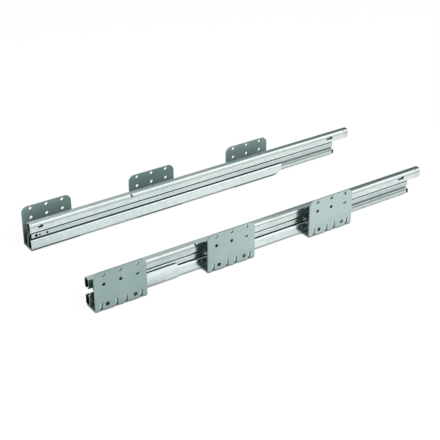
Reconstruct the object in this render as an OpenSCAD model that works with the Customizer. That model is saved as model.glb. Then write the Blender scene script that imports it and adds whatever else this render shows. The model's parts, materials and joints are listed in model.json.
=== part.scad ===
// Full-extension drawer slide: a right-hand and a left-hand slide, standing side by side.
// X runs along the rails with the opening end at -X, Y across, Z up from the bracket flanges.
// Each piece is drawn for the right-hand slide with Y = 0 on the middle of its rails.

/* [Rails] */
// Length of the drawer rail, which is the full extension as well
drawer_len = 738; // [730:1:760]
// Length of the centre rail without its plugs
centre_len = 696; // [690:1:705]
// Length of the cabinet rail
cabinet_len = 564; // [540:1:640]
// Width of the cabinet rail and the drawer rail
rail_w = 14; // [13:0.5:18]
// Height of the cabinet rail and the drawer rail
rail_h = 20; // [18:0.5:26]
// Sheet thickness of the cabinet rail and the drawer rail
sheet_t = 1.5; // [1.2:0.1:1.8]
// Height between the cabinet rail and the drawer rail
rail_gap = 13.5; // [12:0.5:18]
// Radius of the rear lower corner of the cabinet rail
rear_corner_r = 12; // [4:1:14]

/* [Centre rail] */
// Wall thickness of the centre rail
centre_wall_t = 1.2; // [1:0.1:1.4]
// How far the lower corners of the lower head lean in towards its balls
corner_lean = 1.2; // [0.8:0.1:1.4]
// How far each waist wall stands back from the walls of the outer rails
waist_inset = 2; // [1.5:0.1:2.4]
// Corner radius of the waist
waist_r = 1.4; // [1.25:0.05:2]
// Height from the cabinet rail up to the waist
waist_clear_low = 2.4; // [1.5:0.1:3]
// Height from the waist up to the drawer rail
waist_clear_high = 2; // [1.5:0.1:3]
// How far the right centre rail stands back from the drawer rail's front end
right_recess = 13; // [4:1:16]
// How far the left centre rail stands back from the drawer rail's front end
left_recess = 3; // [3:1:16]
// Thickness of the plug flanges that close the centre rail's heads
plug_t = 3; // [2:0.5:3]
// Length of the plug stems inside the centre rail
plug_stem = 10; // [6:1:20]

/* [Balls and cages] */
// Ball diameter
ball_d = 4; // [3.6:0.1:4.2]
// Running clearance between a ball and its races
race_gap = 0.06; // [0.03:0.01:0.1]
// Clearance of a ball in its cage pocket
pocket_gap = 0.1; // [0.05:0.05:0.2]
// Sheet thickness of the ball cages
cage_t = 0.5; // [0.4:0.05:0.55]
// Clearance between a cage and the rails on both sides of it
cage_gap = 0.3; // [0.25:0.05:0.35]
// Length of the lower ball cage
lower_cage_len = 330; // [320:1:334]
// Length of the upper ball cage
upper_cage_len = 348; // [336:1:352]
// Distance between balls along a row
ball_pitch = 30; // [10:1:31]
// Number of balls in a row
balls_in_row = 11; // [4:1:11]

/* [Stops] */
// Distance from a rail end to the face of its pressed stop
stop_reach = 8; // [6:1:14]
// Length of a pressed stop
stop_len = 4; // [3:0.5:5]
// Width of a pressed stop
stop_w = 2; // [1.2:0.1:2.2]
// Clearance over a pressed stop
stop_clear = 0.3; // [0.2:0.05:0.4]

/* [Brackets] */
// Width of a bracket along the rails
bracket_w = 100; // [90:1:120]
// Height of a bracket plate
bracket_h = 75.5; // [66:0.5:90]
// Sheet thickness of the brackets
bracket_t = 2.5; // [2:0.1:3.5]
// Outer radius of the bracket's bend
bracket_bend_r = 4; // [3.5:0.5:6]
// Radius of the upper plate corners
bracket_corner_r = 12; // [2:1:16]
// Distance from one bracket to the next, seven holes of the 32 mm system
bracket_pitch = 224; // [200:1:230]
// Distance from the outer face of the plate to the outer wall of the rail
rail_offset = 20; // [16:0.5:26]
// How far the flange stands back from the inner wall of the rails
flange_inset = 3; // [1:0.5:3]
// Distance between the outer faces of the left and right plates
pair_w = 276; // [160:1:600]

/* [Bracket holes] */
// Distance between screw holes along a row, the 32 mm system
hole_pitch = 32; // [24:1:36]
// Distance between the two upper rows
row_pitch = 18.6; // [12:0.1:26]
// Distance from the top edge of the plate to the upper row
top_edge = 5.5; // [5:0.5:9]
// Diameter of the holes in the upper rows
hole_d = 6.5; // [4:0.1:7]
// Height of the two lower holes
low_hole_z = 11.5; // [9:0.5:14]
// Distance between the two lower holes
low_hole_spread = 53.6; // [42:0.1:56]
// Diameter of the two lower holes
low_hole_d = 7.5; // [5:0.1:8.5]

/* [Bracket gussets] */
// Width of the gussets that are pressed into the bracket's corner
gusset_w = 7.5; // [5:0.5:8]
// Reach of a gusset from the corner, along the plate and along the flange
gusset_reach = 7; // [6:0.5:9]
// Reach of the shallow groove that runs out from a gusset and fades away
groove_reach = 16; // [12:0.5:18]
// Depth of the groove at the corner
groove_depth = 1.5; // [0.8:0.1:1.8]
// Diameter of the round-bottomed groove
groove_d = 6; // [5:0.5:7]
// Distance between the two inner gussets
inner_gusset_spread = 18; // [14:0.5:26]
// Distance between the two outer gussets
outer_gusset_spread = 77; // [74:0.5:82]

/* [Rivets] */
// Shank diameter of the bracket rivets
rivet_d = 4; // [3.6:0.2:5]
// Diameter of the countersunk rivet heads
rivet_head_d = 6; // [5:0.2:6.4]
// Distance between the two rivets of a bracket
rivet_spread = 48; // [30:1:64]
// Radial clearance round a rivet
rivet_gap = 0.05; // [0.02:0.01:0.1]

/* [Stiffener] */
// Length of the strip on the outer wall of the cabinet rail
stiffener_len = 174; // [110:1:220]
// Height of the strip above the rail's own height
stiffener_rise = 7; // [3:0.5:9]
// Thickness of the strip
stiffener_t = 1.2; // [0.8:0.1:2]
// Radius of the strip's upper corners
stiffener_r = 6; // [2:0.5:9]

/* [Drawer rail openings] */
// Length of the front hook slot
front_slot_len = 10; // [8:0.5:14]
// Length of the rear hook slot
rear_slot_len = 15; // [10:0.5:18]
// Height of the narrow part of a hook slot
hook_slot_h = 3.6; // [1.5:0.1:4]
// Length and height of the wide end of a hook slot
hook_slot_end = 5.6; // [4:0.1:6]
// Distance from the drawer rail's front end to the front hook slot
front_slot_x = 16; // [10:1:30]
// Distance from the rear hook slot to the drawer rail's rear end
rear_slot_x = 42; // [30:1:60]
// Height of the hook slots above the lower edge of the drawer rail
hook_slot_z = 8.5; // [7:0.5:10]
// Distance from the front end to the first pressed mark across the upper bends
mark_near_x = 210; // [60:1:600]
// Distance from the second pressed mark to the rear end
mark_far_x = 12; // [5:1:60]
// Width of a pressed mark
mark_w = 1.8; // [0.8:0.1:2.5]
// Depth of a pressed mark
mark_depth = 0.8; // [0.3:0.05:0.9]

/* [Centre rail holes] */
// Distance from the centre rail's front end to its gauge hole
gauge_hole_x = 9; // [6:0.5:11]
// Diameter of the gauge hole
gauge_hole_d = 4.2; // [3:0.1:5]
// Distance from the centre rail's front end to the small hole
small_hole_x = 16; // [15:0.5:20]
// Diameter of the small hole
small_hole_d = 2.4; // [1.5:0.1:3]
// Distance from the centre rail's front end to the locating hole
locating_hole_x = 31; // [26:0.5:60]
// Diameter of the locating hole
locating_hole_d = 3; // [2:0.1:4]

/* [Hidden] */

$fn = 64;
// Overlap that lets a cut run past a face
past = 1;

front_x = -drawer_len / 2;
plate_y = -(rail_w / 2 + rail_offset);
rail_y = pair_w / 2 + plate_y;

// A ball race is concentric with the balls that run in it, and so is the bend outside it.
ball_r = ball_d / 2;
race_r = ball_r + race_gap;
bend_r = race_r + sheet_t;
ball_y = rail_w / 2 - bend_r;

// Levels of the two outer rails
cabinet_z = bracket_t;
drawer_z = cabinet_z + rail_h + rail_gap;
low_rows = [cabinet_z + bend_r, cabinet_z + rail_h - bend_r];
high_rows = [drawer_z + bend_r, drawer_z + rail_h - bend_r];

// The neck is what the races leave of the head, and it passes through the rails' mouths.
neck_w = 2 * (ball_y - race_r);
mouth_gap = 0.8;
mouth_w = neck_w + 2 * mouth_gap;

// A cage lies between the head of the centre rail and the inside of an outer rail.
cage_half = rail_w / 2 - sheet_t - cage_gap;
head_w = 2 * (cage_half - cage_t - cage_gap);
head_over = race_r - 2 * cage_gap - cage_t;
stop_h = 2 * cage_gap + cage_t - stop_clear;

waist_w = rail_w - 2 * waist_inset;
waist_z = [cabinet_z + rail_h + waist_clear_low, drawer_z - waist_clear_high];
waist_mid = (waist_z[0] + waist_z[1]) / 2;

// The head's hollow keeps the wall to the races and to the head's sides.
hollow_w = head_w - 2 * centre_wall_t;
hollow_r = race_r + centre_wall_t;
// Height from a ball row to the level where the hollow is as wide as the neck
hollow_over = sqrt(pow(hollow_r, 2) - pow(race_r, 2));
// Clearance of a plug's stem in the hollow
stem_gap = 0.2;
stem_w = hollow_w - 2 * stem_gap;
// Height from a ball row to the stem, which clears the hollow's rounded corners
stem_over = hollow_r + stem_gap;
// Height from a ball row to the edge of a plug's flange
plug_over = ball_r + cage_gap;
// Corner radius of a plug's flange
plug_r = 1;

stop_x = front_x + stop_reach;
drawer_stop_x = front_x + drawer_len - stop_reach;
bracket_mid_x = [for (i = [0:2]) front_x + bracket_w / 2 + i * bracket_pitch];

// Distance from the bracket's corner to a gusset's axis, which runs at 45 degrees
gusset_axis = gusset_reach / sqrt(2) - gusset_w / 2;

function centre_x(recess) = front_x + recess;
// Each cage rests in the middle of its own travel, so its front end is worked out from the stops.
function lower_cage_x(recess) = (stop_x + centre_x(recess) + centre_len - lower_cage_len) / 2;
function upper_cage_x(recess) = (centre_x(recess) + drawer_stop_x - upper_cage_len) / 2;

// Places a piece of the right-hand slide, or its mirror image on the left
module right() {
    translate([0, -rail_y, 0]) children();
}

module left() {
    mirror([0, 1, 0]) right() children();
}

// Carries an outline drawn in Y and Z along X
module along(x, len) {
    translate([x, 0, 0]) rotate([90, 0, 90]) linear_extrude(len) children();
}

// Carries an outline drawn in X and Z through Y, from y on
module across(y, len) {
    translate([0, y + len, 0]) rotate([90, 0, 0]) linear_extrude(len) children();
}

// Rectangle from z0 to z1 with round corners, centred on Y = 0
module round_box(w, z0, z1, r) {
    translate([-w / 2 + r, z0]) square([w - 2 * r, z1 - z0]);
    translate([-w / 2, z0 + r]) square([w, z1 - z0 - 2 * r]);
    for (y = [-w / 2 + r, w / 2 - r])
        for (z = [z0 + r, z1 - r])
            translate([y, z]) circle(r);
}

// Rounded C outline of an outer rail or a cage. The mouth is at z1 if up, and else at z0.
module c_outline(half, z0, z1, r, t, up) {
    difference() {
        round_box(2 * half, z0, z1, r);
        round_box(2 * (half - t), z0 + t, z1 - t, r - t);
        translate([-mouth_w / 2, up ? z1 - t - past / 2 : z0 - past / 2])
            square([mouth_w, t + past]);
    }
}

module rail_outline(z, up) {
    c_outline(rail_w / 2, z, z + rail_h, bend_r, sheet_t, up);
}

module cage_outline(z, up) {
    inset = sheet_t + cage_gap;
    c_outline(cage_half, z + inset, z + rail_h - inset, race_r - cage_gap, cage_t, up);
}

module head_outline(rows) {
    translate([-head_w / 2, rows[0] - head_over])
        square([head_w, rows[1] - rows[0] + 2 * head_over]);
}

module race_circles(rows, r) {
    for (y = [-ball_y, ball_y])
        for (z = rows)
            translate([y, z]) circle(r);
}

module head_hollow(rows) {
    difference() {
        translate([-hollow_w / 2, rows[0] + hollow_over])
            square([hollow_w, rows[1] - rows[0] - 2 * hollow_over]);
        race_circles(rows, hollow_r);
    }
}

// Cuts the lower corners of a head, from half a wall above the hollow's corners to the races
module head_chamfer(rows) {
    top_z = rows[0] + hollow_r + centre_wall_t / 2;
    for (s = [-1, 1])
        polygon([[s * (head_w / 2 + past), top_z],
                 [s * head_w / 2, top_z],
                 [s * (head_w / 2 - corner_lean), rows[0] + race_r],
                 [s * (head_w / 2 - corner_lean), rows[0]],
                 [s * (head_w / 2 + past), rows[0]]]);
}

module centre_outline() {
    difference() {
        union() {
            head_outline(low_rows);
            head_outline(high_rows);
            round_box(waist_w, waist_z[0], waist_z[1], waist_r);
            translate([-neck_w / 2, low_rows[1]]) square([neck_w, high_rows[0] - low_rows[1]]);
        }
        race_circles(low_rows, race_r);
        race_circles(high_rows, race_r);
        head_chamfer(low_rows);
        head_hollow(low_rows);
        head_hollow(high_rows);
        round_box(waist_w - 2 * centre_wall_t, waist_z[0] + centre_wall_t,
                  waist_z[1] - centre_wall_t, waist_r - centre_wall_t);
    }
}

// A stop pressed out of the sheet between the two ball rows, from x on
module pressed_stop(x, z) {
    translate([x, -stop_w / 2, z]) cube([stop_len, stop_w, stop_h + sheet_t / 2]);
}

module cabinet_rail() {
    end_x = front_x + cabinet_len;
    color([0.86, 0.89, 0.88]) difference() {
        union() {
            along(front_x, cabinet_len) rail_outline(cabinet_z, true);
            pressed_stop(stop_x - stop_len, cabinet_z + sheet_t / 2);
        }
        across(-rail_w, 2 * rail_w) difference() {
            translate([end_x - rear_corner_r, cabinet_z - past])
                square([rear_corner_r + past, rear_corner_r + past]);
            translate([end_x - rear_corner_r, cabinet_z + rear_corner_r]) circle(rear_corner_r);
        }
        rivet_places() translate([0, 0, cabinet_z - past])
            cylinder(h = sheet_t + 2 * past, d = rivet_d + 2 * rivet_gap);
    }
}

module front_stiffener() {
    top_z = cabinet_z + rail_h + stiffener_rise;
    color([0.9, 0.92, 0.91]) across(-rail_w / 2 - stiffener_t, stiffener_t) {
        translate([front_x, cabinet_z])
            square([stiffener_len, top_z - stiffener_r - cabinet_z]);
        translate([front_x + stiffener_r, top_z - stiffener_r])
            square([stiffener_len - 2 * stiffener_r, stiffener_r]);
        for (x = [stiffener_r, stiffener_len - stiffener_r])
            translate([front_x + x, top_z - stiffener_r]) circle(stiffener_r);
    }
}

module rivet_places(brackets = [0, 1, 2]) {
    for (i = brackets)
        for (s = [-0.5, 0.5])
            translate([bracket_mid_x[i] + s * rivet_spread, 0, 0]) children();
}

// Countersunk head below and plain shank above, widened all round by gap
module rivet_shape(gap, h) {
    head_h = (rivet_head_d - rivet_d) / 2;
    cylinder(h = h, d = rivet_d + 2 * gap);
    cylinder(h = head_h, d1 = rivet_head_d + 2 * gap, d2 = rivet_d + 2 * gap);
}

module angle_outline() {
    translate([plate_y, 0]) {
        translate([0, bracket_bend_r]) square([bracket_t, bracket_h - bracket_bend_r]);
        translate([bracket_bend_r, 0])
            square([rail_offset + rail_w - flange_inset - bracket_bend_r, bracket_t]);
        intersection() {
            square(bracket_bend_r);
            translate([bracket_bend_r, bracket_bend_r]) difference() {
                circle(bracket_bend_r);
                circle(bracket_bend_r - bracket_t);
            }
        }
    }
}

module plate_hole(x, z, d) {
    translate([x, plate_y - past, z]) rotate([-90, 0, 0])
        cylinder(h = bracket_t + 2 * past, d = d);
}

// Round bar across the bracket's corner, with all that lies between it and the corner
module gusset_bar(x, r) {
    translate([x, plate_y, 0]) rotate([45, 0, 0])
        translate([0, gusset_axis, -rail_offset]) linear_extrude(2 * rail_offset) {
            circle(r);
            translate([-r, -rail_offset]) square([2 * r, rail_offset]);
        }
}

// The space inside the bracket's corner, from the middle of the sheet on
module inside_corner() {
    r = bracket_bend_r - bracket_t / 2;
    translate([plate_y + bracket_t / 2, bracket_t / 2]) {
        translate([r, 0]) square(rail_offset);
        translate([0, r]) square(rail_offset);
        translate([r, r]) circle(r);
    }
}

// Grooves that run up the plate and along the flange, deepest at the corner
module gusset_grooves(x) {
    slope = atan(groove_depth / groove_reach);
    for (flip = [0, 1])
        translate([x, plate_y, 0]) mirror([0, flip, -flip])
            translate([0, 0, groove_reach]) rotate([slope, 0, 0])
                translate([0, -groove_d / 2, -groove_reach - groove_d])
                    cylinder(h = groove_reach + groove_d, d = groove_d);
}

// The rib that stands up inside the corner where a gusset is pressed in from outside
module gusset_rib(x) {
    rib_r = gusset_w / 2 + bracket_t;
    intersection() {
        along(x - rib_r - past, 2 * (rib_r + past)) inside_corner();
        gusset_bar(x, rib_r);
    }
}

module bracket(i) {
    mid = bracket_mid_x[i];
    gusset_places = [for (w = [inner_gusset_spread, outer_gusset_spread]) for (s = [-0.5, 0.5])
                     mid + s * w];
    color([0.66, 0.73, 0.72]) difference() {
        union() {
            along(mid - bracket_w / 2, bracket_w) angle_outline();
            for (x = gusset_places) gusset_rib(x);
        }
        for (x = gusset_places) {
            gusset_bar(x, gusset_w / 2);
            gusset_grooves(x);
        }
        for (s = [-1, 1])
            translate([mid + s * (bracket_w / 2 - bracket_corner_r), plate_y - past,
                       bracket_h - bracket_corner_r])
                rotate([-90, 0, 0]) difference() {
                    translate([s > 0 ? 0 : -bracket_corner_r - past, -bracket_corner_r - past, 0])
                        cube([bracket_corner_r + past, bracket_corner_r + past,
                              bracket_t + 2 * past]);
                    translate([0, 0, -past])
                        cylinder(h = bracket_t + 4 * past, r = bracket_corner_r);
                }
        for (k = [-1:1])
            for (row = [0, 1])
                plate_hole(mid + k * hole_pitch, bracket_h - top_edge - row * row_pitch, hole_d);
        for (s = [-0.5, 0.5])
            plate_hole(mid + s * low_hole_spread, low_hole_z, low_hole_d);
        rivet_places([i]) rivet_shape(rivet_gap, bracket_t + past);
    }
}

module front_bracket() {
    bracket(0);
}

module middle_bracket() {
    bracket(1);
}

module rear_bracket() {
    bracket(2);
}

module bracket_rivets() {
    color([0.7, 0.72, 0.72]) rivet_places() rivet_shape(0, bracket_t + sheet_t);
}

// Balls of one stage, or anything else that stands at their places
module ball_places(x, len, rows) {
    margin = (len - (balls_in_row - 1) * ball_pitch) / 2;
    for (i = [0:balls_in_row - 1])
        for (y = [-ball_y, ball_y])
            for (z = rows)
                translate([x + margin + i * ball_pitch, y, z]) children();
}

module ball_cage(x, len, z, rows, up) {
    color([0.45, 0.47, 0.48]) difference() {
        along(x, len) cage_outline(z, up);
        ball_places(x, len, rows) sphere(ball_r + pocket_gap);
    }
}

module lower_ball_cage(recess) {
    ball_cage(lower_cage_x(recess), lower_cage_len, cabinet_z, low_rows, true);
}

module lower_balls(recess) {
    color([0.8, 0.81, 0.82])
        ball_places(lower_cage_x(recess), lower_cage_len, low_rows) sphere(ball_r);
}

module upper_ball_cage(recess) {
    ball_cage(upper_cage_x(recess), upper_cage_len, drawer_z, high_rows, false);
}

module upper_balls(recess) {
    color([0.8, 0.81, 0.82])
        ball_places(upper_cage_x(recess), upper_cage_len, high_rows) sphere(ball_r);
}

module waist_hole(x, d) {
    translate([x, -rail_w / 2, waist_mid]) rotate([-90, 0, 0]) cylinder(h = rail_w, d = d);
}

module centre_rail(recess) {
    x = centre_x(recess);
    color([0.82, 0.86, 0.85]) difference() {
        along(x, centre_len) centre_outline();
        waist_hole(x + gauge_hole_x, gauge_hole_d);
        waist_hole(x + small_hole_x, small_hole_d);
        waist_hole(x + locating_hole_x, locating_hole_d);
    }
}

// A flange that a cage runs up against, and a stem in the hollow of the head
module plug(flange_x, stem_x, rows) {
    color([0.25, 0.26, 0.27]) {
        along(flange_x, plug_t)
            round_box(2 * cage_half, rows[0] + plug_over, rows[1] - plug_over, plug_r);
        along(stem_x, plug_stem)
            translate([-stem_w / 2, rows[0] + stem_over])
                square([stem_w, rows[1] - rows[0] - 2 * stem_over]);
    }
}

module centre_rear_plug(recess) {
    end_x = centre_x(recess) + centre_len;
    plug(end_x, end_x - plug_stem, low_rows);
}

module centre_front_plug(recess) {
    plug(centre_x(recess) - plug_t, centre_x(recess), high_rows);
}

// Slot with a narrow run and a wide end towards the rear
module hook_slot(x, len) {
    translate([x, -rail_w / 2 - past, drawer_z + hook_slot_z]) {
        cube([len, rail_w + 2 * past, hook_slot_h]);
        translate([len - hook_slot_end, 0, 0])
            cube([hook_slot_end, rail_w + 2 * past, hook_slot_end]);
    }
}

// Shallow groove across both upper bends
module bend_mark(x) {
    for (s = [-1, 1])
        translate([x - mark_w / 2, s * ball_y, high_rows[1]]) rotate([-s * 45, 0, 0])
            translate([0, -bend_r, bend_r - mark_depth])
                cube([mark_w, 2 * bend_r, mark_depth + past]);
}

module drawer_rail() {
    end_x = front_x + drawer_len;
    color([0.88, 0.9, 0.9]) difference() {
        union() {
            along(front_x, drawer_len) rail_outline(drawer_z, false);
            pressed_stop(drawer_stop_x, drawer_z + rail_h - sheet_t - stop_h);
        }
        hook_slot(front_x + front_slot_x, front_slot_len);
        hook_slot(end_x - rear_slot_x - rear_slot_len, rear_slot_len);
        bend_mark(front_x + mark_near_x);
        bend_mark(end_x - mark_far_x);
    }
}

right() cabinet_rail();  // right_cabinet_rail
right() front_stiffener();  // right_front_stiffener
right() front_bracket();  // right_front_bracket
right() middle_bracket();  // right_middle_bracket
right() rear_bracket();  // right_rear_bracket
right() bracket_rivets();  // right_bracket_rivets
right() lower_ball_cage(right_recess);  // right_lower_ball_cage
right() lower_balls(right_recess);  // right_lower_balls
right() centre_rail(right_recess);  // right_centre_rail
right() centre_rear_plug(right_recess);  // right_centre_rear_plug
right() centre_front_plug(right_recess);  // right_centre_front_plug
right() upper_ball_cage(right_recess);  // right_upper_ball_cage
right() upper_balls(right_recess);  // right_upper_balls
right() drawer_rail();  // right_drawer_rail
left() cabinet_rail();  // left_cabinet_rail
left() front_stiffener();  // left_front_stiffener
left() front_bracket();  // left_front_bracket
left() middle_bracket();  // left_middle_bracket
left() rear_bracket();  // left_rear_bracket
left() bracket_rivets();  // left_bracket_rivets
left() lower_ball_cage(left_recess);  // left_lower_ball_cage
left() lower_balls(left_recess);  // left_lower_balls
left() centre_rail(left_recess);  // left_centre_rail
left() centre_rear_plug(left_recess);  // left_centre_rear_plug
left() centre_front_plug(left_recess);  // left_centre_front_plug
left() upper_ball_cage(left_recess);  // left_upper_ball_cage
left() upper_balls(left_recess);  // left_upper_balls
left() drawer_rail();  // left_drawer_rail
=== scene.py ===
# %% [markdown]
# A pair of full-extension drawer slides, made of zinc-plated sheet steel. The model of every
# piece comes from the packed frame, so this script gives the pieces their finish, sets up the
# studio and places the camera. Bright metal shows what stands round it rather than a colour of
# its own, so the studio and the metal are worked out together.

# %% Load the packed model
import json
import math
import bpy
from mathutils import Matrix, Vector


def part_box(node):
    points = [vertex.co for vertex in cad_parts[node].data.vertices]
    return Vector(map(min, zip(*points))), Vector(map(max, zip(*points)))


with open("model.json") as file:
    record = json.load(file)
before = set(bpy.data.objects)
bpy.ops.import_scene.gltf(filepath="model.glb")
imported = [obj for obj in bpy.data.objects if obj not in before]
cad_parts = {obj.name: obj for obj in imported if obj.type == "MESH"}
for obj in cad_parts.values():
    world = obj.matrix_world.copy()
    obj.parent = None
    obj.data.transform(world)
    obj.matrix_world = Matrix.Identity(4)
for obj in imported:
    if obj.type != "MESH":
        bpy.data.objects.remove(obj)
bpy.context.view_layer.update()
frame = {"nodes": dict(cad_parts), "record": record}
nodes = frame["nodes"]

# %% [markdown]
# The camera stands in front and to the left of the opening end and looks down on the slides.
# It could be aimed by eye, but then every hole would be a little off. So its place, its two
# angles and its lens were worked out from the screw holes of the brackets, whose pitch is known.
# A level camera with a shifted lens fits the holes as well. It wasn't taken, because the shift
# would stay in all the other views and push the slides out of them.

# %% Camera
PHOTO_PX = 440
FOCAL_PX = 1131.9
SENSOR_MM = 36
CAMERA_YAW = 0.5928
CAMERA_PITCH = 0.5101
CAMERA_PLACE = Vector((-1.0737, -1.5539, 1.0559))


def aimed_camera(place, yaw, pitch):
    """Camera at place. Its view turns by yaw from +Y towards +X and dips by pitch."""
    level = math.cos(pitch)
    ahead = Vector((math.sin(yaw) * level, math.cos(yaw) * level, -math.sin(pitch)))
    right = Vector((math.cos(yaw), -math.sin(yaw), 0))
    up = right.cross(ahead)
    turn = Matrix((right, up, -ahead)).transposed()
    camera = bpy.data.objects.new("camera", bpy.data.cameras.new("camera"))
    camera.matrix_world = Matrix.Translation(place) @ turn.to_4x4()
    camera.data.sensor_width = SENSOR_MM
    camera.data.lens = SENSOR_MM * FOCAL_PX / PHOTO_PX
    bpy.context.scene.collection.objects.link(camera)
    return camera


bpy.context.scene.camera = aimed_camera(CAMERA_PLACE, CAMERA_YAW, CAMERA_PITCH)
bpy.context.scene.view_settings.view_transform = "Standard"
print("lens:", round(bpy.context.scene.camera.data.lens, 1), "mm")

# %% [markdown]
# A finish is a small graph of shader nodes. It could be wired by hand, but a mask with ten
# steps is then ten nodes long and hard to read. Two helpers keep it short. The first lets the
# maths on a value be written as plain sums and products, and each of them adds its Math node.


# %% Values that change over a surface
class Value:
    """A number that changes over the surface. Sums and products on it add Math nodes."""

    def __init__(self, finish, socket):
        self.finish = finish
        self.socket = socket

    def _math(self, operation, a, b=0.0):
        return self.finish.add("ShaderNodeMath", {"operation": operation}, {0: a, 1: b})

    def __add__(self, other):
        return self._math("ADD", self, other)

    def __radd__(self, other):
        return self._math("ADD", other, self)

    def __sub__(self, other):
        return self._math("SUBTRACT", self, other)

    def __rsub__(self, other):
        return self._math("SUBTRACT", other, self)

    def __mul__(self, other):
        return self._math("MULTIPLY", self, other)

    def __abs__(self):
        return self._math("ABSOLUTE", self)

    def larger(self, other):
        """The larger of this value and the other."""
        return self._math("MAXIMUM", self, other)

    def over(self, edge):
        """1 where the value is above edge, and else 0."""
        return self._math("GREATER_THAN", self, edge)

    def under(self, edge):
        """1 where the value is below edge, and else 0."""
        return self._math("LESS_THAN", self, edge)

    def between(self, low, high):
        """1 where the value is above low and below high, and else 0."""
        return self.over(low) * self.under(high)


print("tests on a value:", [name for name in vars(Value) if not name.startswith("_")])

# %% [markdown]
# The second helper is the finish itself. One method adds any node, and the others give the few
# patterns that the metal needs: noise, a smooth ramp, a blend of two colours and a bump. They
# all read Object coordinates, which stay with the piece when it slides.


# %% A finish and its patterns
MIX_COLOURS = (6, 7)
MIX_RESULT = 2


class Finish:
    """The node graph of a material or of the world, and ways to add to it."""

    def __init__(self, owner):
        owner.use_nodes = True
        self.owner = owner
        self.tree = owner.node_tree

    def add(self, kind, settings=None, inputs=None, output=0):
        """Adds a node: its settings first, then the values or links of its sockets."""
        node = self.tree.nodes.new(kind)
        for name, value in (settings or {}).items():
            setattr(node, name, value)
        self.feed(node, inputs or {})
        return Value(self, node.outputs[output])

    def feed(self, node, inputs):
        """Links or sets the sockets of a node."""
        for key, value in inputs.items():
            if isinstance(value, Value):
                self.tree.links.new(value.socket, node.inputs[key])
            else:
                node.inputs[key].default_value = value

    def place(self, stretch=(1, 1, 1)):
        """Object coordinates, multiplied by stretch."""
        spot = self.add("ShaderNodeTexCoord", output="Object")
        return self.add("ShaderNodeVectorMath", {"operation": "MULTIPLY"}, {0: spot, 1: stretch})

    def spot(self, axis):
        """The point's place along the axis "X", "Y" or "Z", in metres from the part's origin."""
        return self.add("ShaderNodeSeparateXYZ", {}, {"Vector": self.place()}, axis)

    def facing(self, axis):
        """How much the surface faces along the axis "X", "Y" or "Z", from -1 to 1."""
        normal = self.add("ShaderNodeNewGeometry", output="Normal")
        return self.add("ShaderNodeSeparateXYZ", {}, {"Vector": normal}, axis)

    def noise(self, size, stretch=(1, 1, 1), detail=2.0, rough=0.5):
        """Noise from 0 to 1 whose grains are about size metres across before the stretch."""
        inputs = {"Vector": self.place(stretch), "Scale": 1 / size}
        inputs.update({"Detail": detail, "Roughness": rough})
        return self.add("ShaderNodeTexNoise", {}, inputs)

    def ramp(self, value, low, high, to_low=0.0, to_high=1.0):
        """Carries value from the range low..high to the range to_low..to_high, smoothly."""
        inputs = {"Value": value, "From Min": low, "From Max": high}
        inputs.update({"To Min": to_low, "To Max": to_high})
        return self.add("ShaderNodeMapRange", {"interpolation_type": "SMOOTHSTEP"}, inputs)

    def blend(self, share, first, second):
        """Colour between first and second. A Mix node has its own sockets for colours."""
        inputs = {"Factor": share, MIX_COLOURS[0]: first, MIX_COLOURS[1]: second}
        return self.add("ShaderNodeMix", {"data_type": "RGBA"}, inputs, output=MIX_RESULT)

    def bump(self, height, depth):
        """Tilts the surface as if height, from 0 to 1, stood out by depth metres."""
        inputs = {"Height": height, "Distance": depth, "Strength": 1.0}
        return self.add("ShaderNodeBump", {}, inputs)

    def shade(self, **inputs):
        """Sets the shader's sockets. An underscore in a name stands for a space."""
        shader = self.tree.nodes["Principled BSDF"]
        self.feed(shader, {name.replace("_", " "): value for name, value in inputs.items()})


def new_finish(name):
    """An empty material, ready for its patterns."""
    return Finish(bpy.data.materials.new(name))


print("patterns of a finish:", [name for name in vars(Finish) if not name.startswith("_")])

# %% [markdown]
# Grease and shadow darken the metal in the rails' hollows, where the balls run. The hollows
# could be pieces with a material of their own, but they are faces of the same rolled strip. So
# the rail's one material finds them with a mask, from the point's height and its distance to
# the middle of the rails, and paints grease and shade into their colour. The slides mirror each
# other, so one distance serves for both.

# %% Where the rails lie
MM = 0.001
cabinet_low, cabinet_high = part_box("left_cabinet_rail")
drawer_low, drawer_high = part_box("left_drawer_rail")
RAIL_Y = (drawer_low[1] + drawer_high[1]) / 2
RAIL_H = drawer_high[2] - drawer_low[2]
CABINET_Z = cabinet_low[2]
DRAWER_Z = drawer_low[2]
print("rails at", round(CABINET_Z, 4), "and", round(DRAWER_Z, 4), "m, high", round(RAIL_H, 4))

# %% Masks for the rails
INNER_FACE = 5.9 * MM
SHEET_BEND = 1.2 * MM
END_FACING = 0.9


def from_rail_middle(finish):
    """Distance across, from the middle of the rails that the point belongs to."""
    return abs(abs(finish.spot("Y")) - RAIL_Y)


def cut_end(finish):
    """1 on the cut ends of the sheet, which face along X, and else 0."""
    return abs(finish.facing("X")).over(END_FACING)


def inside_rail(finish, rail_z):
    """1 on the inner faces of the outer rail that stands on rail_z, and else 0."""
    low, high = rail_z + SHEET_BEND, rail_z + RAIL_H - SHEET_BEND
    return from_rail_middle(finish).under(INNER_FACE) * finish.spot("Z").between(low, high)


print("inner faces lie within", round(INNER_FACE, 4), "m of the rails' middle")

# %% [markdown]
# The rails are rolled from zinc-plated strip. A photograph of real zinc could be laid on them,
# but noise has no seam, no edge and any size. Rolling draws the surface out along X, so its
# streaks are noise squeezed along X by a factor of fifty. Handling leaves broad patches that
# shine a little less, and the crystals of the zinc leave a fine mottle. The plating has a faint
# green-blue cast.


# %% Bright zinc
# The darkest tone is grease and painted shade, the dull one is duller zinc and painted shade, and
# the lightest is a painted highlight.
GREASE_AND_SHADE = (0.014, 0.026, 0.025, 1)
DULL_AND_SHADE = (0.20, 0.25, 0.245, 1)
PAINTED_HIGHLIGHT = (0.98, 1.0, 0.99, 1)
ROLLED_OUT = (1 / 50, 1, 1)
CUT_END_DULL = 0.85
CHALK_DULL = 0.48
STRIP_RELIEF = 0.006 * MM


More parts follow.
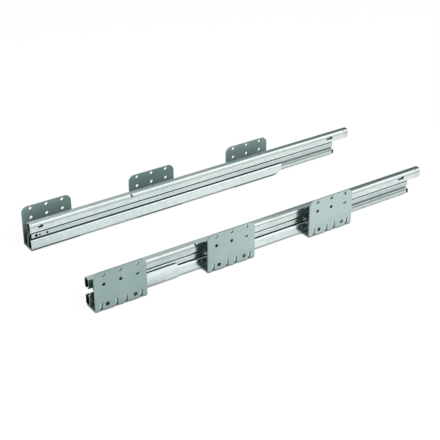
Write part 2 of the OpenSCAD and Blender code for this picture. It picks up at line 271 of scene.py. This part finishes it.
def rolled_zinc(name, tones, gloss, grease_and_shade_mask, shade_and_dull, highlighted=None, chalky=None):
    """Zinc between two tones, light and dark. gloss is the roughness of the cleanest places.

    Four masks follow, each taking the finish: the first marks the grease and painted shade in the
    hollows, the second places painted darker, some as painted shade and some as a duller tone, the
    third places with a painted highlight, and the last places where a chalky bloom on the zinc
    hides the mirror image.
    """
    zinc = new_finish(name)
    streaks = zinc.noise(2 * MM, ROLLED_OUT, detail=3, rough=0.65)
    lines = zinc.ramp(streaks, 0.35, 0.65)
    crystals = zinc.noise(4 * MM, stretch=(0.35, 1, 1), detail=2, rough=0.6)
    mottle = zinc.ramp(crystals, 0.35, 0.65)
    wear = zinc.ramp(zinc.noise(50 * MM, stretch=(0.4, 1, 1)), 0.35, 0.7)
    specks = zinc.ramp(zinc.noise(0.9 * MM, stretch=(0.5, 1, 1), detail=1), 0.66, 0.74)
    colour = zinc.blend(lines * 0.4 + mottle * 0.4 + wear * 0.2, *tones)
    # Painted shade and duller places from the second mask, and dull cut ends.
    colour = zinc.blend(shade_and_dull(zinc) + cut_end(zinc) * CUT_END_DULL, colour, DULL_AND_SHADE)
    if highlighted:
        # A painted highlight where the third mask says.
        colour = zinc.blend(highlighted(zinc), colour, PAINTED_HIGHLIGHT)
    metal = 1.0
    if chalky:
        chalk = chalky(zinc)
        colour = zinc.blend(chalk * CHALK_DULL, colour, DULL_AND_SHADE)
        metal = metal - chalk
    # Grease and painted shade in the hollows.
    hollow_grease_and_shade = grease_and_shade_mask(zinc)
    colour = zinc.blend(hollow_grease_and_shade, colour, GREASE_AND_SHADE)
    rough = gloss + streaks * 0.06 + wear * 0.05 + specks * 0.1 + hollow_grease_and_shade * 0.3
    normal = zinc.bump(streaks + specks * 0.3, STRIP_RELIEF)
    zinc.shade(Base_Color=colour, Metallic=metal - hollow_grease_and_shade * 0.5, Roughness=rough, Normal=normal)
    return zinc.owner


# The dull tone is also painted shade, and the greasy one is also painted shade in the hollows.
print("zinc goes dull to", DULL_AND_SHADE[:3], "and greasy to", GREASE_AND_SHADE[:3])

# %% [markdown]
# The cabinet rails are the lower pair. Their undersides get painted shade, and their front ends
# are a little darker. The taller strip on their outer wall at the front, the stiffener, gets a
# painted highlight on its upper part and painted shade towards its foot. It is told by where it
# lies, further out than the wall.


# %% Zinc of the cabinet rails
CABINET_TONES = ((0.82, 0.90, 0.90, 1), (0.54, 0.65, 0.64, 1))
CABINET_GLOSS = 0.13
STIFFENER_Y = cabinet_high[1] + 0.5 * MM
UNDERSIDE_Z = CABINET_Z + 2.2 * MM
FRONT_END_X = (-370 * MM, -280 * MM)
FOOT_X = (-270 * MM, -190 * MM)
FOOT_Z = (CABINET_Z + 4 * MM, CABINET_Z + 17 * MM)
HEAD_Z = (CABINET_Z + 15 * MM, CABINET_Z + 21 * MM)


def on_stiffener(zinc):
    """1 on the outer face of the front stiffener, and else 0."""
    return abs(zinc.spot("Y")).over(STIFFENER_Y)


def cabinet_hollow_shade(zinc):
    """Grease and painted shade on the inner faces."""
    return inside_rail(zinc, CABINET_Z)


def cabinet_shade_and_dark_end(zinc):
    """Painted shade under the lower bends and the stiffener's foot, and a darker front end."""
    x, z = zinc.spot("X"), zinc.spot("Z")
    # Painted shade under the lower bends and towards the stiffener's foot, and darker at the front
    # end.
    underside = z.under(UNDERSIDE_Z) * 0.4
    front_end = zinc.ramp(x, *FRONT_END_X, 0.22, 0.0)
    foot = zinc.ramp(z, *FOOT_Z, 1.0, 0.0) * on_stiffener(zinc)
    return underside + front_end + foot * zinc.ramp(x, *FOOT_X, 0.42, 0.1)


def cabinet_highlight(zinc):
    """Painted highlight on the stiffener's upper part, and lighter from the middle to the rear."""
    # A painted highlight on the stiffener's upper part, and lighter from the middle to the rear.
    head = zinc.ramp(zinc.spot("Z"), *HEAD_Z, 0.0, 0.4) * on_stiffener(zinc)
    return head + zinc.ramp(zinc.spot("X"), -170 * MM, -20 * MM, 0.0, 0.17)


cabinet_masks = (cabinet_hollow_shade, cabinet_shade_and_dark_end, cabinet_highlight)
cabinet_zinc = rolled_zinc("cabinet_zinc", CABINET_TONES, CABINET_GLOSS, *cabinet_masks)
print("cabinet rails:", CABINET_TONES[0][:3], "to", CABINET_TONES[1][:3])

# %% [markdown]
# The drawer rails are the upper pair. The flanks of their upper bends get a painted highlight,
# with a band of painted shade below it, and the flat tops carry a chalky bloom at the front,
# which fades towards the rear, so only the rear half mirrors the room. A slanting nick is pressed
# across the upper bends. It is in the model too, but so shallow that its shadow is painted in.


# %% Zinc of the drawer rails
DRAWER_TONES = ((0.80, 0.88, 0.87, 1), (0.50, 0.61, 0.60, 1))
DRAWER_GLOSS = 0.13
NICK_X = drawer_low[0] + 210 * MM
NICK_SLANT = 0.4
NICK_HALF_W = 1.7 * MM
NICK_HEIGHTS = (DRAWER_Z + 13 * MM, DRAWER_Z + 19.6 * MM)
REAR_END_X = drawer_high[0] - 12 * MM
BAND_Z = (DRAWER_Z + 9.5 * MM, DRAWER_Z + 14.5 * MM)
FLANK_Z = (DRAWER_Z + 15 * MM, DRAWER_Z + 18.3 * MM)
WALL_FACE = 6.6 * MM
BEND_FACE = 6.2 * MM
RIGHT_FRONT_X = (-190 * MM, -110 * MM)
LEFT_TOP_X = (-330 * MM, -260 * MM, -40 * MM, 60 * MM)


def on_flat_top(zinc):
    """1 on the flat top of the drawer rails, and else 0."""
    return zinc.spot("Z").over(drawer_high[2] - 0.05 * MM)


def drawer_hollow_shade(zinc):
    """Grease and painted shade on the inner faces, and on the nick: a stripe in X that leans with
    the height.
    """
    x, z = zinc.spot("X"), zinc.spot("Z")
    from_nick = abs(x - NICK_X + (z - drawer_high[2]) * NICK_SLANT)
    nick = from_nick.under(NICK_HALF_W) * z.between(*NICK_HEIGHTS)
    return inside_rail(zinc, DRAWER_Z) + nick * 0.95


def drawer_shade_and_dark_ends(zinc):
    """Painted shade in a soft band under the upper bends and on the flat top of the left rail
    before the middle, and darker places at the last 12 mm and at the front of the right rail.
    """
    x, y, z = zinc.spot("X"), zinc.spot("Y"), zinc.spot("Z")
    # Painted shade in a band on the walls under the upper bends.
    band = zinc.ramp(z, *BAND_Z, 0.0, 0.55) * z.under(FLANK_Z[0])
    band = band * from_rail_middle(zinc).over(WALL_FACE)
    # The front of the right rail is darker.
    front = zinc.ramp(x, *RIGHT_FRONT_X, 0.25, 0.0) * y.under(0.0)
    # Painted shade on the left rail's flat top before the middle.
    top = zinc.ramp(x, *LEFT_TOP_X[:2], 0.0, 0.42) * zinc.ramp(x, *LEFT_TOP_X[2:], 1.0, 0.0)
    top = top * on_flat_top(zinc) * y.over(0.0)
    # The last 12 mm are darker.
    return band + x.over(REAR_END_X) * 0.2 + front * (1 - band) + top


def drawer_highlight(zinc):
    """Painted highlight on the lower flanks of the upper bends, and lighter from the middle to the
    rear.
    """
    x = zinc.spot("X")
    flank = zinc.spot("Z").between(*FLANK_Z) * from_rail_middle(zinc).over(BEND_FACE)
    flank = flank * zinc.ramp(x, 0.0, 250 * MM, 0.45, 0.1)
    return flank + zinc.ramp(x, -120 * MM, 0.0, 0.0, 0.15)


def drawer_chalky(zinc):
    """The flat top, most at the front."""
    return on_flat_top(zinc) * zinc.ramp(zinc.spot("X"), -140 * MM, 80 * MM, 0.6, 0.0)


drawer_masks = (drawer_hollow_shade, drawer_shade_and_dark_ends, drawer_highlight, drawer_chalky)
drawer_zinc = rolled_zinc("drawer_zinc", DRAWER_TONES, DRAWER_GLOSS, *drawer_masks)
print("drawer rails:", DRAWER_TONES[0][:3], "to", DRAWER_TONES[1][:3], "nick at", round(NICK_X, 3))

# %% [markdown]
# The centre rail has the same zinc. Its necks and races are painted nearly black, as grease and
# the shade that falls into them, and so are the two ends of the upper head, as grease that the
# cage pushes there and the shade inside the drawer rail. Between them the upper head is only
# filmed with oil, which shows when the drawer rail is pulled out. Where the lower head stands
# out at the rear it is wiped clean, down to two lines of painted shade along its races. The
# three small holes in the waist get painted shade, as discs a little larger than the holes.


# %% Zinc of the centre rail
CENTRE_TONES = ((0.76, 0.84, 0.83, 1), (0.50, 0.60, 0.59, 1))
CENTRE_GLOSS = 0.15
CENTRE_FRONT_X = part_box("left_centre_rail")[0][0]
COVERED_END_X = cabinet_high[0] + 2 * MM
FRONT_GREASE_AND_SHADE_X = (CENTRE_FRONT_X + 35 * MM, CENTRE_FRONT_X + 90 * MM)
REAR_GREASE_AND_SHADE_X = (230 * MM, 290 * MM)
NECK_HALF_W = 3.9 * MM
NECKS_Z = (CABINET_Z + 3 * MM, DRAWER_Z + 2 * MM)
GROOVE_HALF_W = 1.6 * MM
WAIST_LOW_Z = CABINET_Z + RAIL_H + 3 * MM
WAIST_HIGH_Z = DRAWER_Z - 2 * MM
WAIST_MIDDLE_Z = 29.45 * MM
WAIST_BRIGHT_X = -50 * MM
WAIST_HOLES = ((9 * MM, 3.1 * MM), (16 * MM, 2.0 * MM), (31 * MM, 2.5 * MM))
UPPER_RACE_SHADE = (14.6 * MM, 16.6 * MM)
LOWER_RACE_SHADE = (8.5 * MM, 11 * MM)


def upper_head_grease_and_shade(zinc):
    """Grease and painted shade on the upper head's ends and races, and a film of oil on the rest.
    """
    x = zinc.spot("X")
    ends = zinc.ramp(x, *FRONT_GREASE_AND_SHADE_X, 1.0, 0.0) + zinc.ramp(x, *REAR_GREASE_AND_SHADE_X)
    races = from_rail_middle(zinc).under(NECK_HALF_W) * 0.85
    head = zinc.spot("Z").over(DRAWER_Z - 1 * MM)
    return head * zinc.ramp(ends.larger(races), 0.0, 1.0, 0.2, 1.0)


def centre_grease_and_shade(zinc):
    """Grease and painted shade: necks and races in the cabinet rail, the upper head, the holes'
    rims.

    Each rim is a disc: the square of the distance to the hole's middle is under radius squared.
    """
    x, z = zinc.spot("X"), zinc.spot("Z")
    narrow = from_rail_middle(zinc).under(NECK_HALF_W) * z.between(*NECKS_Z)
    covered = x.under(COVERED_END_X).larger(from_rail_middle(zinc).under(GROOVE_HALF_W) * 0.7)
    grease_and_shadow = (narrow * covered).larger(upper_head_grease_and_shade(zinc))
    up = z - WAIST_MIDDLE_Z
    # Painted shade round each hole in the waist.
    for behind_front, radius in WAIST_HOLES:
        along = x - (CENTRE_FRONT_X + behind_front)
        grease_and_shadow = grease_and_shadow.larger((along * along + up * up).under(radius ** 2) * 0.9)
    return grease_and_shadow


def centre_shade_and_dark_ends(zinc):
    """Painted shade on the waist's lower corners and along the races, and darker waist ends."""
    z = zinc.spot("Z")
    # Painted shade on the waist's lower corners.
    corners = z.between(WAIST_LOW_Z - 1 * MM, WAIST_LOW_Z) * 0.5
    # The waist is darker away from its brightest point.
    from_bright = abs(zinc.spot("X") - WAIST_BRIGHT_X)
    waist = z.between(WAIST_LOW_Z, WAIST_HIGH_Z)
    waist = waist * zinc.ramp(from_bright, 80 * MM, 200 * MM, 0.05, 0.22)
    # Painted shade in two lines along the races.
    lines = z.between(*UPPER_RACE_SHADE) * 0.75 + z.between(*LOWER_RACE_SHADE) * 0.3
    return corners + lines + waist


centre_zinc = rolled_zinc("centre_zinc", CENTRE_TONES, CENTRE_GLOSS, centre_grease_and_shade, centre_shade_and_dark_ends)
print("centre rail starts at", round(CENTRE_FRONT_X, 4), "and has", len(WAIST_HOLES), "holes")

# %% [markdown]
# The brackets are angles of thicker sheet, three on each slide at one pitch. So a mask is drawn
# once, for the distance along X from the middle of the nearest bracket, and the Wrap operation
# repeats it. Shade is painted into the screw holes, on one flank of each pressed groove and at
# its foot, and a highlight is painted on the other flank.


# %% Masks for the brackets
front_low, front_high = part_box("left_front_bracket")
BRACKET_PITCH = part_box("left_middle_bracket")[0][0] - front_low[0]
BRACKET_X = (front_low[0] + front_high[0]) / 2
BRACKET_TOP_Z = front_high[2]
PLATE_Y = RAIL_Y + 20 * MM
HOLES_HALF_W = 45 * MM
HOLES_Z = (7 * MM, BRACKET_TOP_Z - 4 * MM)
GROOVES = (-38.5 * MM, -9 * MM, 9 * MM, 38.5 * MM)
GROOVE_Y = RAIL_Y + 18 * MM
GROOVE_TOP_Z = 16.5 * MM
GROOVE_FOOT_Z = 2.8 * MM
# Where the painted shade and the painted highlight lie beside each groove.
SHADED_FLANK = (0.2 * MM, 2.3 * MM)
SHADED_FOOT = (-3.4 * MM, 1.2 * MM)
LIT_FLANK = (-3.0 * MM, 0.0)


def along_bracket(zinc):
    """Distance along X from the middle of the bracket that the point belongs to."""
    low, high = BRACKET_X - BRACKET_PITCH / 2, BRACKET_X + BRACKET_PITCH / 2
    wrapped = {0: zinc.spot("X"), 1: low, 2: high}
    return zinc.add("ShaderNodeMath", {"operation": "WRAP"}, wrapped) - BRACKET_X


def hole_walls(zinc):
    """1 on the walls of the screw holes: within the plate's outline, but facing along it."""
    outline = abs(along_bracket(zinc)).under(HOLES_HALF_W) * zinc.spot("Z").between(*HOLES_Z)
    return outline * abs(zinc.spot("Y")).over(PLATE_Y) * abs(zinc.facing("Y")).under(0.5)


def groove_flanks(zinc):
    """Masks for the pressed grooves: painted shade on one flank and at the foot, a highlight on
    the other.
    """
    z = zinc.spot("Z")
    grooved = z.under(GROOVE_TOP_Z) * abs(zinc.spot("Y")).over(GROOVE_Y)
    foot = grooved * z.under(GROOVE_FOOT_Z) * 1.2
    upright = grooved * z.over(GROOVE_FOOT_Z)
    painted_shade = 0.0
    flank_highlight = 0.0
    for groove in GROOVES:
        aside = along_bracket(zinc) - groove
        painted_shade = painted_shade + aside.between(*SHADED_FLANK) * grooved + aside.between(*SHADED_FOOT) * foot
        flank_highlight = flank_highlight + aside.between(*LIT_FLANK) * upright
    return painted_shade, flank_highlight


print("brackets every", round(BRACKET_PITCH, 4), "m, with", len(GROOVES), "grooves each")

# %% [markdown]
# The brackets have the same plating as the rails, but duller and greener, with fine even grains
# in place of the rolling streaks. Their tone runs along X, darkest at the front, as a painted
# fall of light. Their inner faces, turned towards the rails, are darker, with grease and painted
# shade towards the corner. A face's own direction tells which side it is on, so a mask takes the
# direction along Y times the side of the part that it lies on.


# %% Dull zinc of the brackets
# The outer tones from the front bracket to the rear one, a painted fall of light.
FRONT_BRACKET = (0.33, 0.45, 0.44, 1)
REAR_BRACKET = (0.50, 0.62, 0.60, 1)
INNER_FACES = (0.17, 0.27, 0.26, 1)
PALE = (0.62, 0.70, 0.69, 1)
FLANK_HIGHLIGHT_TONE = (0.80, 0.86, 0.85, 1)
FLANGE_Y = RAIL_Y + 14 * MM
GRAIN_RELIEF = 0.012 * MM


def bracket_tone(zinc, outward):
    """One run of tones on the outer faces and another on the inner ones, with painted light and
    shade.
    """
    x, z = zinc.spot("X"), zinc.spot("Z")
    outer = zinc.blend(zinc.ramp(x, -300 * MM, 80 * MM), FRONT_BRACKET, REAR_BRACKET)
    # The outer faces darker towards the bottom.
    outer = zinc.blend(zinc.ramp(z, 6 * MM, 40 * MM, 0.12, 0.03), outer, GREASE_AND_SHADE)
    # The inner faces also painted lighter towards the rear, and grease and painted shade towards
    # the corner.
    inner = zinc.blend(zinc.ramp(x, -100 * MM, 120 * MM, 0.0, 0.12), INNER_FACES, PALE)
    inner = zinc.blend(zinc.ramp(z, 8 * MM, 46 * MM, 0.85, 0.0), inner, GREASE_AND_SHADE)
    return zinc.blend(outward, inner, outer)


def dull_zinc(name):
    """Zinc: fine grains, pale clouds, painted shade in grooves, holes and below, painted
    highlights.
    """
    zinc = new_finish(name)
    grains = zinc.noise(0.8 * MM)
    clouds = zinc.noise(50 * MM, detail=3)
    y = zinc.spot("Y")
    outward = zinc.ramp(zinc.facing("Y") * y, -0.02, 0.02)
    colour = bracket_tone(zinc, outward)
    colour = zinc.blend(zinc.ramp(clouds, 0.4, 0.7, 0.0, 0.12), colour, PALE)
    painted_shade, flank_highlight = groove_flanks(zinc)
    # Painted shade on the undersides and in the screw holes, with the grooves' painted shade.
    underside = zinc.facing("Z").under(-0.4) * zinc.spot("Z").over(0.2 * MM)
    painted_shade = (painted_shade + underside * abs(y).over(FLANGE_Y)).larger(hole_walls(zinc))
    colour = zinc.blend(painted_shade * 0.8, colour, GREASE_AND_SHADE)
    # A painted highlight on one flank of each groove.
    colour = zinc.blend(flank_highlight * 0.35, colour, FLANK_HIGHLIGHT_TONE)
    rough = 0.40 + grains * 0.12 + clouds * 0.06
    normal = zinc.bump(grains, GRAIN_RELIEF)
    zinc.shade(Base_Color=colour, Metallic=0.35 + outward * 0.45, Roughness=rough, Normal=normal)
    return zinc.owner


bracket_zinc = dull_zinc("bracket_zinc")
print("bracket tones from", FRONT_BRACKET[:3], "to", REAR_BRACKET[:3])

# %% [markdown]
# Rivets, cages, balls and plugs hardly show, so one recipe serves them all: two near tones that
# a fine noise mixes, with a gloss that changes a little from place to place. The balls are the
# brightest, and the plugs are black plastic, made near black and with hardly any shine so that
# they also stand in for the shade in the recessed rail ends.


# %% Finishes of the small pieces
SPOT_RELIEF = 0.02 * MM


def plain_finish(name, light, dark, metallic, rough, grain, specular):
    """A finish between two tones with grains of the size grain, for the small pieces."""
    made = new_finish(name)
    spots = made.noise(grain, detail=3)
    made.shade(
        Base_Color=made.blend(spots, light, dark), Metallic=metallic,
        Roughness=rough + spots * 0.15, Specular_IOR_Level=specular,
        Normal=made.bump(spots, SPOT_RELIEF))
    return made.owner


# Each row: light tone, dark tone, metallic, roughness, size of the grains, specular level.
SMALL_FINISHES = {
    "rivet_steel": ((0.55, 0.58, 0.58, 1), (0.40, 0.43, 0.43, 1), 1.0, 0.25, 1 * MM, 0.5),
    "cage_steel": ((0.20, 0.21, 0.22, 1), (0.12, 0.13, 0.14, 1), 1.0, 0.3, 2 * MM, 0.5),
    "ball_steel": ((0.75, 0.76, 0.77, 1), (0.65, 0.66, 0.67, 1), 1.0, 0.08, 1 * MM, 0.5),
    # The plugs' near-black tones and low specular level are also painted shade for the recessed
    # ends.
    "plug_plastic": ((0.008, 0.011, 0.011, 1), (0.02, 0.026, 0.026, 1), 0.0, 0.7, 0.6 * MM, 0.08),
}
small_finishes = {name: plain_finish(name, *row) for name, row in SMALL_FINISHES.items()}
print("small pieces:", sorted(small_finishes))

# %% [markdown]
# Each node's record names the slot that its finish belongs in, so the finishes are handed out
# by slot. The two outer rails share a slot, because they are one material, but the drawer rails
# get the finish with the painted highlight on the flanks of their bends.

# %% Hand out the finishes
FINISHES = {
    "zinc_rail": cabinet_zinc,
    "zinc_centre": centre_zinc,
    "zinc_bracket": bracket_zinc,
    **small_finishes,
}
for part in frame["record"]["subparts"]:
    drawer_rail = part["node"].endswith("drawer_rail")
    body = nodes[part["node"]]
    body.data.materials.clear()
    body.data.materials.append(drawer_zinc if drawer_rail else FINISHES[part["material_slot"]])
print("finishes:", sorted(FINISHES))

# %% [markdown]
# The floor is white paper. Lamps strong enough to make it white would burn out the metal, so
# the camera and the metal see a plain glow in it, and a share of the lamps' light stays, which
# keeps a soft shadow. Close under the metal less of the sky reaches the floor. There the glow is
# darker and greener, which draws a thin line along the lower edges.


# %% Floor
FLOOR_WHITE = 1.03
NEAR_M, FAR_M = 0.5, 1.2
CONTACT_REACH = 6 * MM
CONTACT_TINT = (0.55, 0.72, 0.70, 1)
WHITE = (1, 1, 1, 1)


def studio_floor(half, camera_share, gloss_share, near_level, far_level):
    """White square floor. A share is how much plain glow the camera or the metal sees in it.

    In the metal's mirror image the glow falls from near_level to far_level away from the slides.
    """
    corners = [(-half, -half, 0), (half, -half, 0), (half, half, 0), (-half, half, 0)]
    mesh = bpy.data.meshes.new("floor")
    mesh.from_pydata(corners, [], [(0, 1, 2, 3)])
    floor = bpy.data.objects.new("floor", mesh)
    bpy.context.scene.collection.objects.link(floor)
    paint = new_finish("floor_paint")
    paint.shade(Base_Color=(0.95, 0.95, 0.95, 1), Roughness=0.9, Specular_IOR_Level=0.0)
    camera = paint.add("ShaderNodeLightPath", output="Is Camera Ray")
    gloss = paint.add("ShaderNodeLightPath", output="Is Glossy Ray")
    away = paint.add("ShaderNodeVectorMath", {"operation": "LENGTH"}, {0: paint.place()}, "Value")
    occlusion = ("ShaderNodeAmbientOcclusion", {"samples": 16}, {"Distance": CONTACT_REACH}, "AO")
    contact = paint.ramp(paint.add(*occlusion), 0.15, 0.6, 0.15, 1.0)
    level = camera * FLOOR_WHITE * contact
    level = level + gloss * paint.ramp(away, NEAR_M, FAR_M, near_level, far_level)
    tint = paint.blend(contact, CONTACT_TINT, WHITE)
    glow = paint.add("ShaderNodeEmission", {}, {"Color": tint, "Strength": level})
    share = camera * camera_share + gloss * gloss_share
    lit = Value(paint, paint.tree.nodes["Principled BSDF"].outputs["BSDF"])
    mix = paint.add("ShaderNodeMixShader", {}, {0: share, 1: lit, 2: glow})
    paint.feed(paint.tree.nodes["Material Output"], {"Surface": mix})
    mesh.materials.append(paint.owner)


studio_floor(half=12, camera_share=0.86, gloss_share=0.6, near_level=1.0, far_level=0.6)
print("floor: 24 m wide")

# %% [markdown]
# Two large soft lamps light the floor and the dull faces, one from the front and one from the
# left. The metal doesn't mirror the lamps themselves, because their discs would burn hard spots
# into the bends. What it mirrors comes from the world instead.


# %% Lamps
def soft_lamp(name, place, size, power):
    """A disc lamp that aims at the part's origin and isn't mirrored in the metal."""
    data = bpy.data.lights.new(name, "AREA")
    data.shape = "DISK"
    data.size = size
    data.energy = power
    lamp = bpy.data.objects.new(name, data)
    lamp.location = place
    lamp.rotation_euler = (-Vector(place)).to_track_quat("-Z", "Y").to_euler()
    lamp.visible_glossy = False
    bpy.context.scene.collection.objects.link(lamp)


soft_lamp("key", place=(0.6, -2.2, 2.6), size=2.4, power=70)
soft_lamp("fill", place=(-2.4, 0.8, 2.2), size=2.0, power=25)
print("lamps: key and fill")

# %% [markdown]
# The world is what the metal mirrors: a pale room with a large bright window in front, to the
# right and half-way up, which draws the long highlights into the upper bends. Low at the back
# right the room is unlit and a little green, and high on the right it is dim. The flat tops of
# the drawer rails mirror these two parts, and so they turn dark towards the rear. Cards and a
# softbox could be modelled for this, but in the world each is just a direction and two angles.
# The camera itself sees plain white.


# %% World
def heading(azimuth, height):
    """Direction from two angles in degrees, the first from +Y towards +X and the second up."""
    azimuth, height = math.radians(azimuth), math.radians(height)
    level = math.cos(height)
    return (math.sin(azimuth) * level, math.cos(azimuth) * level, math.sin(height))


# Each part of the room: its middle, and the angles where it starts and has ended to fade.
WINDOW = (heading(147, 22), 19, 46)
UNLIT = (heading(55, 14), 15, 34)
DIM = (heading(80, 44), 9, 22)
UNLIT_DEPTH = 0.79
DIM_DEPTH = 0.7
UNLIT_TINT = (0.76, 1.0, 0.98, 1)


def around(room, towards, middle, inner, outer):
    """1 within inner degrees of the direction middle, and 0 beyond outer degrees."""
    pair = {0: towards, 1: middle}
    nearness = room.add("ShaderNodeVectorMath", {"operation": "DOT_PRODUCT"}, pair, "Value")
    return room.ramp(nearness, math.cos(math.radians(outer)), math.cos(math.radians(inner)))


def studio_world(plain, walls, window):
    """plain lights the dull faces. walls and window are levels in the metal's mirror image."""
    world = bpy.data.worlds.new("studio")
    bpy.context.scene.world = world
    room = Finish(world)
    towards = room.add("ShaderNodeTexCoord", output="Generated")
    bright = around(room, towards, *WINDOW)
    unlit = around(room, towards, *UNLIT)
    dim = around(room, towards, *DIM)
    mirrored = walls + bright * (window - walls)
    mirrored = mirrored * (1 - unlit * UNLIT_DEPTH) * (1 - dim * DIM_DEPTH)
    camera = room.add("ShaderNodeLightPath", output="Is Camera Ray")
    gloss = room.add("ShaderNodeLightPath", output="Is Glossy Ray")
    level = camera + gloss * mirrored + (1 - camera - gloss) * plain
    tint = room.blend(gloss * unlit, WHITE, UNLIT_TINT)
    room.feed(room.tree.nodes["Background"], {"Color": tint, "Strength": level})


studio_world(plain=0.5, walls=0.75, window=1.5)
print("world: a pale room with a window, an unlit part and a dim part")

# %% [markdown]
# The box of the dressed part must be the box of the model, because no piece was added or moved.
